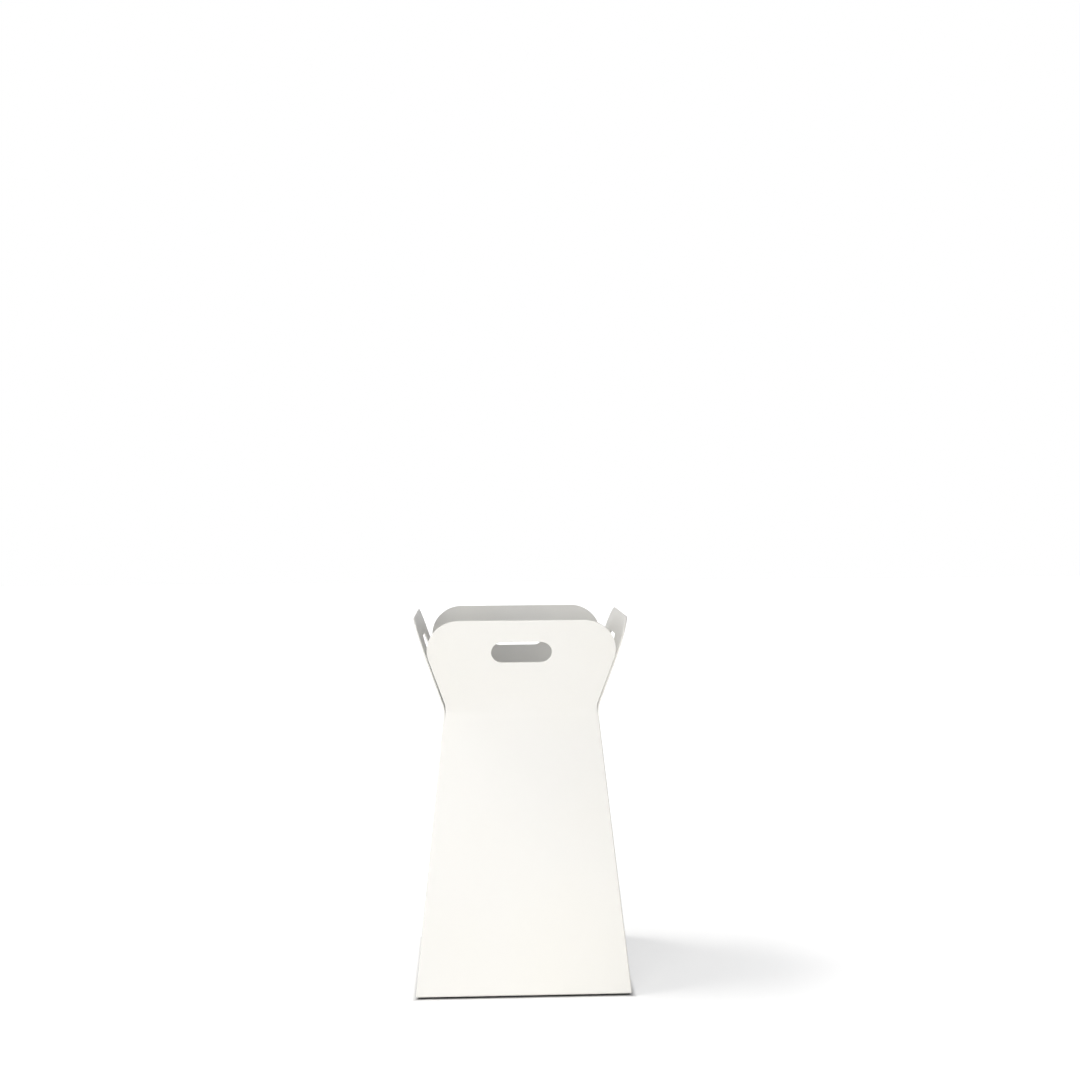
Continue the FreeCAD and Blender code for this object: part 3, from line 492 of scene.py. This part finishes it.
# Right half of the hand hole, from the middle of its lower edge to the middle of its upper edge
def holeOutline(p, b):
    radius, cut = p["holeHeight"] / 2, p["cutEdge"]
    level = b["top"] - p["holeDrop"] - radius
    across = p["holeLength"] / 2 - radius
    points = [(0, level - radius, cut, cut)]
    for step in range(p["arcSteps"] + 1):
        angle = math.pi * (step / p["arcSteps"] - 0.5)
        points.append((across + radius * math.cos(angle), level + radius * math.sin(angle), cut, cut))
    points.append((0, level + radius, cut, cut))
    return points


def bothHalves(half):
    return half + [(-across, level, outer, inner) for across, level, outer, inner in half[-2:0:-1]]


# Rings of vertices round the cut edge of the sheet, from its outer face to its inner face
def edgeRings(shape, p, loop, inwards):
    count = len(loop)
    spots = [Vector((across, level)) for across, level, _, _ in loop]
    steer = []
    for here in range(count):
        before = (spots[here] - spots[here - 1]).normalized()
        after = (spots[(here + 1) % count] - spots[here]).normalized()
        first, second = Vector((-before.y, before.x)), Vector((-after.y, after.x))
        steer.append((first + second) / (1 + first.dot(second)) * inwards)
    rings = []
    for side in (0, 1):
        steps = range(p["edgeSteps"] + 1) if side == 0 else range(p["edgeSteps"], -1, -1)
        for step in steps:
            angle = math.pi / 2 * step / p["edgeSteps"]
            ring = []
            for here in range(count):
                radius = loop[here][2 + side]
                spot = spots[here] + steer[here] * radius * (1 - math.sin(angle))
                depth = radius * (1 - math.cos(angle))
                ring.append(shape.verts.new((spot.x, p["gauge"] - depth if side else depth, spot.y)))
            rings.append(ring)
    for lower, upper in zip(rings, rings[1:]):
        for here in range(count):
            following = (here + 1) % count
            shape.faces.new((lower[here], lower[following], upper[following], upper[here]))
    return rings


def makeBlank(name, p, b, inset):
    shape = bmesh.new()
    outline, hole = blankOutline(p, b, inset), holeOutline(p, b)
    outer = edgeRings(shape, p, bothHalves(outline), 1)
    inner = edgeRings(shape, p, bothHalves(hole), -1)
    last, middle = len(outline) - 1, len(hole) - 1
    for rim, cut in ((outer[0], inner[0]), (outer[-1], inner[-1])):
        shape.faces.new(rim[:last + 1] + cut[middle::-1])
        shape.faces.new(rim[last:] + rim[:1] + cut[:1] + cut[:middle - 1:-1])
    for start, end, steps in ((b["bottomBend"], b["wallStart"], p["bottomSteps"]),
                              (b["waistBend"], b["flapStart"], p["waistSteps"])):
        for step in range(steps + 1):
            level = Vector((0, 0, start + (end - start) * step / steps))
            everything = shape.verts[:] + shape.edges[:] + shape.faces[:]
            bmesh.ops.bisect_plane(shape, geom=everything, plane_co=level, plane_no=(0, 0, 1),
                                   dist=p["mergeWithin"])
    bmesh.ops.remove_doubles(shape, verts=shape.verts[:], dist=p["mergeWithin"])
    bmesh.ops.recalc_face_normals(shape, faces=shape.faces[:])
    for face in shape.faces:
        face.smooth = True
    return finishMesh(name, shape)


# Node tree that bends everything above a level about a line across the sheet
def addBend(tree, geometry, level, turn, radius):
    place = addNode(tree, "GeometryNodeInputPosition").outputs[0]
    split = addNode(tree, "ShaderNodeSeparateXYZ", {0: place})
    arc = maths(tree, "MULTIPLY", radius, maths(tree, "ABSOLUTE", turn))
    above = maths(tree, "SUBTRACT", split.outputs["Z"], level)
    inArc = maths(tree, "MINIMUM", maths(tree, "MAXIMUM", above, 0.0), arc)
    angle = maths(tree, "MULTIPLY", turn, maths(tree, "DIVIDE", inArc, arc))
    centreDepth = maths(tree, "MULTIPLY", radius, maths(tree, "MULTIPLY", maths(tree, "SIGN", turn), -1.0))
    centre = addNode(tree, "ShaderNodeCombineXYZ", {"Y": centreDepth, "Z": level}).outputs[0]
    lowered = addNode(tree, "ShaderNodeCombineXYZ", {
        "X": split.outputs["X"], "Y": split.outputs["Y"],
        "Z": maths(tree, "SUBTRACT", split.outputs["Z"], inArc)}).outputs[0]
    turned = addNode(tree, "ShaderNodeVectorRotate", {"Vector": lowered, "Center": centre, "Angle": angle},
                     rotation_type="X_AXIS")
    moved = addNode(tree, "GeometryNodeSetPosition", {"Geometry": geometry, "Position": turned.outputs[0]})
    return moved.outputs[0]


def foldTree():
    tree = newTree("foldSheet", (("Waist Level", "NodeSocketFloat"), ("Waist Turn", "NodeSocketFloat"),
                                 ("Waist Radius", "NodeSocketFloat"), ("Foot Level", "NodeSocketFloat"),
                                 ("Foot Turn", "NodeSocketFloat"), ("Foot Radius", "NodeSocketFloat"),
                                 ("Finish", "NodeSocketMaterial")))
    given = tree.nodes["Group Input"].outputs
    sheet = addBend(tree, given["Geometry"], given["Waist Level"], given["Waist Turn"], given["Waist Radius"])
    sheet = addBend(tree, sheet, given["Foot Level"], given["Foot Turn"], given["Foot Radius"])
    closeTree(tree, sheet)
    return tree


def addPanels(p):
    b = blankLevels(p)
    fold = foldTree()
    folds = {"Waist Level": b["waistBend"], "Waist Turn": b["waistTurn"], "Waist Radius": p["waistRadius"],
             "Foot Level": b["bottomBend"], "Foot Turn": -b["bottomTurn"], "Foot Radius": p["bottomRadius"],
             "Finish": finishes["white_coating"]}
    stand = Matrix.Translation((0, p["bottomReturn"] - p["baseWidth"] / 2, p["floorGap"]))
    stand = stand @ Matrix.Rotation(math.pi / 2, 4, "X")
    for side, (node, inset) in enumerate((("front_panel", True), ("right_panel", False),
                                          ("back_panel", True), ("left_panel", False))):
        blank = makeBlank(f"{node}Blank", p, b, inset)
        mesh = treeResult(blank, fold, folds, weighted=True)
        mesh.transform(Matrix.Rotation(side * math.pi / 2, 4, "Z") @ stand)
        addPiece(f"{node}_sheet", mesh, "planter", "white_coating", node)


addPanels(panelSizes)
print("stage: panels")


# Wire handles: straight runs, rounded at their corners and given a round section
handleSizes = {
    "stub": 13 * mm,
    "drop": 66 * mm,
    "wire": 2.5 * mm,
    "gripBend": 12 * mm,
    "stubBend": 4 * mm,
    "bendSteps": 12,
    "aroundSteps": 32,
    "endEdge": 0.5 * mm,
    "wallTaper": math.radians(3.5),
}


def wireTree():
    tree = newTree("bendWire", (("Wire Radius", "NodeSocketFloat"), ("Around Steps", "NodeSocketInt"),
                                ("Bend Steps", "NodeSocketInt"), ("Finish", "NodeSocketMaterial")))
    given = tree.nodes["Group Input"].outputs
    line = addNode(tree, "GeometryNodeMeshToCurve", {0: given["Geometry"]}).outputs[0]
    bend = addNode(tree, "GeometryNodeInputNamedAttribute", {"Name": "bend"}, data_type="FLOAT").outputs[0]
    rounded = addNode(tree, "GeometryNodeFilletCurve", {
        "Curve": line, "Count": given["Bend Steps"], "Radius": bend}, mode="POLY").outputs[0]
    ring = addNode(tree, "GeometryNodeCurvePrimitiveCircle", {
        "Resolution": given["Around Steps"], "Radius": given["Wire Radius"]}).outputs[0]
    wire = addNode(tree, "GeometryNodeCurveToMesh", {
        "Curve": rounded, "Profile Curve": ring, "Fill Caps": True})
    closeTree(tree, addNode(tree, "GeometryNodeSetShadeSmooth", {"Geometry": wire.outputs[0]}).outputs[0])
    return tree


def wireRoute(name, spots, bends):
    mesh = bpy.data.meshes.new(name)
    mesh.from_pydata(spots, [(here, here + 1) for here in range(len(spots) - 1)], [])
    bend = mesh.attributes.new("bend", "FLOAT", "POINT")
    for here, radius in enumerate(bends):
        bend.data[here].value = radius
    return mesh


def addHandles(p):
    tree = wireTree()
    for node, side in (("left_handle", -1), ("right_handle", 1)):
        pivot = Vector(next(joint["pos_m"] for joint in frame["joints"] if joint["name"] == f"{node}_swing"))
        half = Vector((0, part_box(node)[1][1] - p["stub"], 0))
        stub = Vector((0, p["stub"], 0))
        hang = Vector((-side * math.sin(p["wallTaper"]), 0, -math.cos(p["wallTaper"]))) * p["drop"]
        spots = [pivot - half - stub, pivot - half, pivot - half + hang,
                 pivot + half + hang, pivot + half, pivot + half + stub]
        bends = [0, p["stubBend"], p["gripBend"], p["gripBend"], p["stubBend"], 0]
        values = {"Wire Radius": p["wire"], "Around Steps": p["aroundSteps"], "Bend Steps": p["bendSteps"],
                  "Finish": finishes["handle_wire"]}
        wire = treeResult(wireRoute(f"{node}Route", spots, bends), tree, values)
        addPiece(f"{node}_wire", softMesh(wire, p["endEdge"]), bodyOf[node], slotOf[node], node)


# Sheet parts, feet, screws and washers keep their packed form and get broken edges of these widths
edgeWidths = {
    "liner": 0.4 * mm,
    "left_handle_lugs": 0.35 * mm,
    "right_handle_lugs": 0.35 * mm,
    "base_plate": 0.4 * mm,
    "front_ledge": 0.45 * mm,
    "right_ledge": 0.45 * mm,
    "back_ledge": 0.45 * mm,
    "left_ledge": 0.45 * mm,
    "front_left_angle": 0.4 * mm,
    "front_right_angle": 0.4 * mm,
    "back_right_angle": 0.4 * mm,
    "back_left_angle": 0.4 * mm,
    "feet": 0.35 * mm,
    "foot_washers": 0.25 * mm,
    "foot_screws": 0.25 * mm,
}


# Which edges are broken and how finely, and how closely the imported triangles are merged
edgeLook = {
    "sharperThan": math.radians(38),
    "steps": 2,
    "mergeWithin": 0.002 * mm,
    "flatWithin": math.radians(0.6),
}


def softMesh(mesh, width):
    host = newObject(f"{mesh.name}Host", mesh)
    edges = host.modifiers.new("edges", "BEVEL")
    edges.width = width
    edges.segments = edgeLook["steps"]
    edges.limit_method = "ANGLE"
    edges.angle_limit = edgeLook["sharperThan"]
    flattenShading(host)
    return bakedMesh(host)


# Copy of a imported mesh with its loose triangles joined
def joinedCopy(node):
    shape = bmesh.new()
    shape.from_mesh(frame["nodes"][node].data)
    bmesh.ops.remove_doubles(shape, verts=shape.verts[:], dist=edgeLook["mergeWithin"])
    return shape


# The same with its triangles merged back into whole faces
def mergedCopy(node):
    shape = joinedCopy(node)
    for layer in list(shape.loops.layers.uv.values()):
        shape.loops.layers.uv.remove(layer)
    bmesh.ops.dissolve_limit(shape, angle_limit=edgeLook["flatWithin"], verts=shape.verts[:],
                             edges=shape.edges[:])
    for face in shape.faces:
        face.smooth = True
    mesh = finishMesh(f"{node}Merged", shape)
    for name in ("custom_normal", "sharp_edge"):
        if name in mesh.attributes:
            mesh.attributes.remove(mesh.attributes[name])
    return mesh


def softenNodes(widths):
    for node, width in widths.items():
        soft = softMesh(mergedCopy(node), width)
        soft.materials.clear()
        addPiece(f"{node}_dressed", soft, bodyOf[node], slotOf[node], node)


# Small parts that repeat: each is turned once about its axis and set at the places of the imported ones
fastenerSizes = {
    "rivetHead": 3 * mm,
    "rivetShank": 1.6 * mm,
    "rivetLength": 4.7 * mm,
    "rivetDome": 1 * mm,
    "domeSteps": 6,
    "studRadius": 2.5 * mm,
    "studLength": 12 * mm,
    "studPitch": 0.8 * mm,
    "threadDepth": 0.3 * mm,
    "plainShare": 0.2,
    "ledgeNut": {"corner": 4.62 * mm, "bore": 2.55 * mm, "height": 5 * mm},
    "footNut": {"corner": 5.77 * mm, "bore": 3.05 * mm, "height": 5 * mm},
    "nutChamfer": 0.58,
    "nutFace": 0.98,
    "nutEdge": 0.25 * mm,
    "roundSteps": 30,
    "hexSteps": 48,
    "sharperThan": math.radians(32),
}


# Surface of rings about Z: each ring is a list of (radius, height), one pair or one for every step
def turnedMesh(name, rings, steps, closed=False):
    shape = bmesh.new()
    loops = []
    for ring in rings:
        if ring[0][0] == 0:
            loops.append([shape.verts.new((0, 0, ring[0][1]))])
            continue
        loop = []
        for step in range(steps):
            radius, height = ring[step % len(ring)]
            angle = 2 * math.pi * step / steps
            loop.append(shape.verts.new((radius * math.cos(angle), radius * math.sin(angle), height)))
        loops.append(loop)
    following = loops[1:] + loops[:1] if closed else loops[1:]
    for lower, upper in zip(loops, following):
        for step in range(steps):
            after = (step + 1) % steps
            corners = [lower[step % len(lower)], lower[after % len(lower)],
                       upper[after % len(upper)], upper[step % len(upper)]]
            shape.faces.new(list(dict.fromkeys(corners)))
    bmesh.ops.recalc_face_normals(shape, faces=shape.faces[:])
    for face in shape.faces:
        face.smooth = True
    mesh = finishMesh(name, shape)
    mesh.set_sharp_from_angle(angle=fastenerSizes["sharperThan"])
    return mesh


def rivetMesh(p):
    end, dome = p["rivetLength"] / 2, p["rivetDome"]
    head = []
    for step in range(p["domeSteps"] + 1):
        angle = math.pi / 2 * step / p["domeSteps"]
        head.append((p["rivetHead"] * math.sin(angle), end - dome + dome * math.cos(angle)))
    shank = [(p["rivetShank"], end - dome), (p["rivetShank"], dome - end)]
    tail = [(radius, -height) for radius, height in reversed(head)]
    return turnedMesh("rivet", [[pair] for pair in head + shank + tail], p["roundSteps"])


def studMesh(p):
    end, radius = p["studLength"] / 2, p["studRadius"]
    level = -end + p["plainShare"] * p["studLength"]
    profile = [(0, -end), (radius, -end), (radius, level)]
    while level + p["studPitch"] < end - p["nutEdge"]:
        profile.append((radius - p["threadDepth"], level + p["studPitch"] / 2))
        level += p["studPitch"]
        profile.append((radius, level))
    profile += [(radius - p["nutEdge"], end), (0, end)]
    return turnedMesh("stud", [[pair] for pair in profile], p["roundSteps"])


# Hexagon nut: its corners are chamfered by a flat cone at both ends
def nutMesh(name, nut, p):
    top, bore, edge = nut["height"] / 2, nut["bore"], p["nutEdge"]
    flat = nut["corner"] * math.cos(math.pi / 6)
    face = p["nutFace"] * flat
    sides = []
    for step in range(p["hexSteps"]):
        angle = (2 * math.pi * step / p["hexSteps"]) % (math.pi / 3)
        radius = flat / math.cos(angle - math.pi / 6)
        sides.append((radius, top - (radius - face) * p["nutChamfer"]))
    rings = [[(bore + edge, top)], [(face, top)], sides, [(radius, -height) for radius, height in sides],
             [(face, -top)], [(bore + edge, -top)], [(bore, -top + edge)], [(bore, top - edge)]]
    return turnedMesh(name, rings, p["hexSteps"], closed=True)


# Node tree that sets one piece on every point of a mesh, its axis along the point's aim
def setTree():
    tree = newTree("setPieces", (("Piece", "NodeSocketObject"), ("Finish", "NodeSocketMaterial")))
    given = tree.nodes["Group Input"].outputs
    piece = addNode(tree, "GeometryNodeObjectInfo", {"Object": given["Piece"], "As Instance": True})
    aim = addNode(tree, "GeometryNodeInputNamedAttribute", {"Name": "aim"},
                  data_type="FLOAT_VECTOR").outputs[0]
    turned = addNode(tree, "FunctionNodeAlignRotationToVector", {"Vector": aim}, axis="Z").outputs[0]
    placed = addNode(tree, "GeometryNodeInstanceOnPoints", {
        "Points": given["Geometry"], "Instance": piece.outputs["Geometry"], "Rotation": turned})
    closeTree(tree, placed.outputs[0])
    return tree


def setPieces(name, piece, places, finish, tree):
    points = bpy.data.meshes.new(f"{name}Points")
    points.from_pydata([spot for spot, _ in places], [], [])
    aim = points.attributes.new("aim", "FLOAT_VECTOR", "POINT")
    for here, (_, direction) in enumerate(places):
        aim.data[here].vector = direction
    model = newObject(f"{name}Model", piece)
    result = treeResult(points, tree, {"Piece": model, "Finish": finish})
    bpy.data.objects.remove(model)
    return result


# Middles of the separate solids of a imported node, in the order of its vertices
def solidCentres(node):
    shape = joinedCopy(node)
    seen, centres = set(), []
    for first in shape.verts:
        if first in seen:
            continue
        seen.add(first)
        solid, front = [], [first]
        while front:
            vert = front.pop()
            solid.append(vert.co)
            for edge in vert.link_edges:
                other = edge.other_vert(vert)
                if other not in seen:
                    seen.add(other)
                    front.append(other)
        low = Vector([min(spot[axis] for spot in solid) for axis in range(3)])
        high = Vector([max(spot[axis] for spot in solid) for axis in range(3)])
        centres.append((low + high) / 2)
    shape.free()
    return centres


# Direction into the planter, square to the nearest wall, for a wall that leans inwards by an angle
def squareToWall(spot, lean):
    if abs(spot.x) > abs(spot.y):
        outward = Vector((math.copysign(1, spot.x), 0, 0))
    else:
        outward = Vector((0, math.copysign(1, spot.y), 0))
    return -outward * math.cos(lean) - Vector((0, 0, math.sin(lean)))


def addFasteners(p):
    tree = setTree()
    lean = blankLevels(panelSizes)["lean"]
    taper = -handleSizes["wallTaper"]
    for node, maker, tilt in (
            ("left_lug_rivets", lambda: rivetMesh(p), taper),
            ("right_lug_rivets", lambda: rivetMesh(p), taper),
            ("ledge_studs", lambda: studMesh(p), lean),
            ("ledge_nuts", lambda: nutMesh("ledgeNut", p["ledgeNut"], p), lean),
            ("foot_nuts", lambda: nutMesh("footNut", p["footNut"], p), None)):
        places = []
        for spot in solidCentres(node):
            places.append((spot, Vector((0, 0, 1)) if tilt is None else squareToWall(spot, tilt)))
        mesh = setPieces(node, maker(), places, finishes[slotOf[node]], tree)
        addPiece(f"{node}_set", mesh, bodyOf[node], slotOf[node], node)


addHandles(handleSizes)
softenNodes(edgeWidths)
addFasteners(fastenerSizes)
print("stage: handles, sheet parts, fasteners")


# Floor, world and lamps: the floor's lift makes it white to the camera, and under the foot painted shade keeps it
# dark
stageLight = {
    "floorSize": 14.0,
    "floorColour": (0.86, 0.86, 0.86, 1),
    "floorRoughness": 0.85,
    "floorSpecular": 0.1,
    "lift": {"near": 0.51, "far": 0.90, "start": 0.3, "end": 1.5, "mirrored": 0.45},
    # Painted shade: under the foot the floor's colour goes to a dark grey, for a darker line under the edge
    "paintedUnderShade": {"dark": 0.194, "edge": 0.2, "clear": 0.209, "colour": (0.12, 0.12, 0.12, 1)},
    "worldColour": (0.96, 0.97, 1.0, 1),
    "worldStrength": {"horizon": 0.80, "zenith": 0.11, "end": 0.75},
    "lamps": {  # size is the angle of a sun and the side of a box
        "keySun": {"kind": "SUN", "place": (-2.0, 0.16, 2.95), "aim": (0.0, 0.0, 0.0),
                   "size": 0.42, "power": 1.15, "colour": (1.0, 0.985, 0.955)},
        "frontBox": {"kind": "AREA", "place": (-1.0, -3.5, 0.45), "aim": (0.0, 0.0, 0.3),
                     "size": 1.6, "power": 74.0, "colour": (1.0, 0.99, 0.97)},
        "lowFill": {"kind": "AREA", "place": (0.1, -0.7, 0.12), "aim": (0.12, -0.2, 0.03),
                    "size": 0.2, "power": 0.18, "colour": (1.0, 0.985, 0.95)},
    },
}


# Rays that see the pale background: the camera's, and those through glass or off metal
def cameraShare(tree, mirrored=1.0):
    path = addNode(tree, "ShaderNodeLightPath").outputs
    seen = maths(tree, "MAXIMUM", path["Is Camera Ray"], path["Is Transmission Ray"])
    return maths(tree, "MAXIMUM", seen, maths(tree, "MULTIPLY", path["Is Glossy Ray"], mirrored))


def addFloor():
    shape = bmesh.new()
    bmesh.ops.create_grid(shape, x_segments=1, y_segments=1, size=stageLight["floorSize"])
    floor = newObject("floor", finishMesh("floor", shape))
    material, tree, shader = newMaterial("paleFloor", Roughness=stageLight["floorRoughness"],
                                         Specular_IOR_Level=stageLight["floorSpecular"])
    shader.inputs["Emission Color"].default_value = (1, 1, 1, 1)
    place, lift, shade = objectPlace(tree), stageLight["lift"], stageLight["paintedUnderShade"]
    distance = addNode(tree, "ShaderNodeVectorMath", {0: place}, operation="LENGTH").outputs["Value"]
    glow = spread(tree, distance, lift["near"], lift["far"], lift["start"], lift["end"])
    # Distance out from the middle, measured square to the planter's sides
    sides = addNode(tree, "ShaderNodeVectorMath", {0: place}, operation="ABSOLUTE").outputs[0]
    sides = addNode(tree, "ShaderNodeSeparateXYZ", {0: sides}).outputs
    beside = maths(tree, "MAXIMUM", sides["X"], sides["Y"])
    # Painted shade under the foot: the lift is cut off under it and just beside it, and the floor's colour blends
    # into the dark shade colour
    glow = maths(tree, "MULTIPLY", glow, spread(tree, beside, 0.0, 1.0, shade["edge"], shade["clear"]))
    clear = spread(tree, beside, 0.0, 1.0, shade["dark"], shade["edge"])
    colour = blendColours(tree, clear, shade["colour"], stageLight["floorColour"])
    tree.links.new(colour, shader.inputs["Base Color"])
    glow = maths(tree, "MULTIPLY", glow, cameraShare(tree, lift["mirrored"]))
    tree.links.new(glow, shader.inputs["Emission Strength"])
    floor.data.materials.append(material)


def addWorld():
    world = bpy.data.worlds.new("studio")
    world.use_nodes = True
    bpy.context.scene.world = world
    tree = world.node_tree
    ambient = tree.nodes["Background"]
    ambient.inputs["Color"].default_value = stageLight["worldColour"]
    strength = stageLight["worldStrength"]
    direction = addNode(tree, "ShaderNodeTexCoord").outputs["Generated"]
    upwards = addNode(tree, "ShaderNodeSeparateXYZ", {0: direction}).outputs["Z"]
    fade = spread(tree, upwards, strength["horizon"], strength["zenith"], 0.0, strength["end"])
    tree.links.new(fade, ambient.inputs["Strength"])
    backdrop = addNode(tree, "ShaderNodeBackground", {"Color": (1, 1, 1, 1), "Strength": 1.0})
    mixed = addNode(tree, "ShaderNodeMixShader", {0: cameraShare(tree)})
    tree.links.new(ambient.outputs[0], mixed.inputs[1])
    tree.links.new(backdrop.outputs[0], mixed.inputs[2])
    tree.links.new(mixed.outputs[0], tree.nodes["World Output"].inputs["Surface"])


def addLamps():
    for name, lamp in stageLight["lamps"].items():
        data = bpy.data.lights.new(name, lamp["kind"])
        setattr(data, "angle" if lamp["kind"] == "SUN" else "size", lamp["size"])
        data.energy = lamp["power"]
        data.color = lamp["colour"]
        light = bpy.data.objects.new(name, data)
        place = Vector(lamp["place"])
        light.location = place
        light.rotation_euler = (Vector(lamp["aim"]) - place).to_track_quat("-Z", "Y").to_euler()
        bpy.context.scene.collection.objects.link(light)


addFloor()
addWorld()
addLamps()
bpy.context.scene.view_settings.view_transform = "Standard"
print("stage: floor and light")
